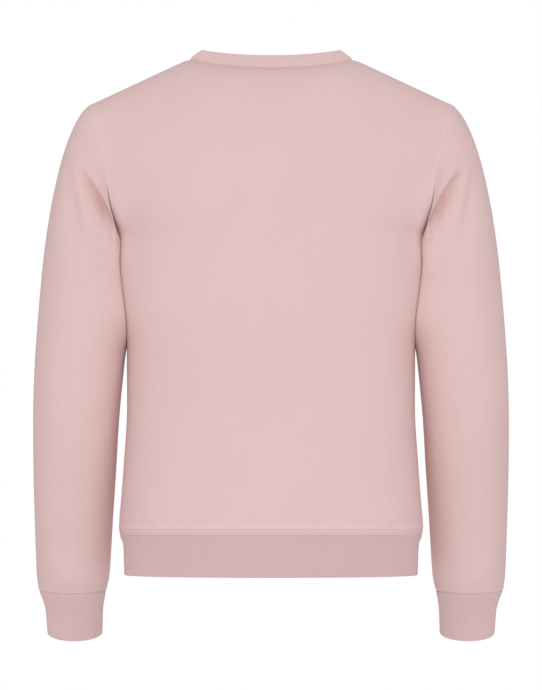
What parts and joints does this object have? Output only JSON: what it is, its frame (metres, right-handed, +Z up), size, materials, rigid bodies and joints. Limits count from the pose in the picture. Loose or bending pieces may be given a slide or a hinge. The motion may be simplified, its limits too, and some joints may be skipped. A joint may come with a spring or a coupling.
{
  "type": "crewneck sweatshirt",
  "caption": "Pull-on crewneck sweatshirt in brushed fleece with rib collar, cuffs and hem, hollow and filled out as if worn, arms down.",
  "frame": {"origin": "midway between the two points where the shoulder seams meet the collar, where the wearer's shoulders hold the garment", "axes": "+Z up, the front of the garment faces -Y and its back +Y, +X towards the wearer's left"},
  "size_m": [0.5834, 0.2267, 0.7279],
  "materials": {
    "fleece": "matte pale pink brushed sweatshirt fleece",
    "rib_knit": "matte pale pink one by one rib knit"
  },
  "bodies": {
    "root": {"body_back": "fleece", "body_front": "fleece", "sleeve_left": "fleece", "sleeve_right": "fleece", "cuff_left": "rib_knit", "cuff_right": "rib_knit", "hem_band": "rib_knit", "neck_band": "rib_knit"}
  },
  "joints": []
}
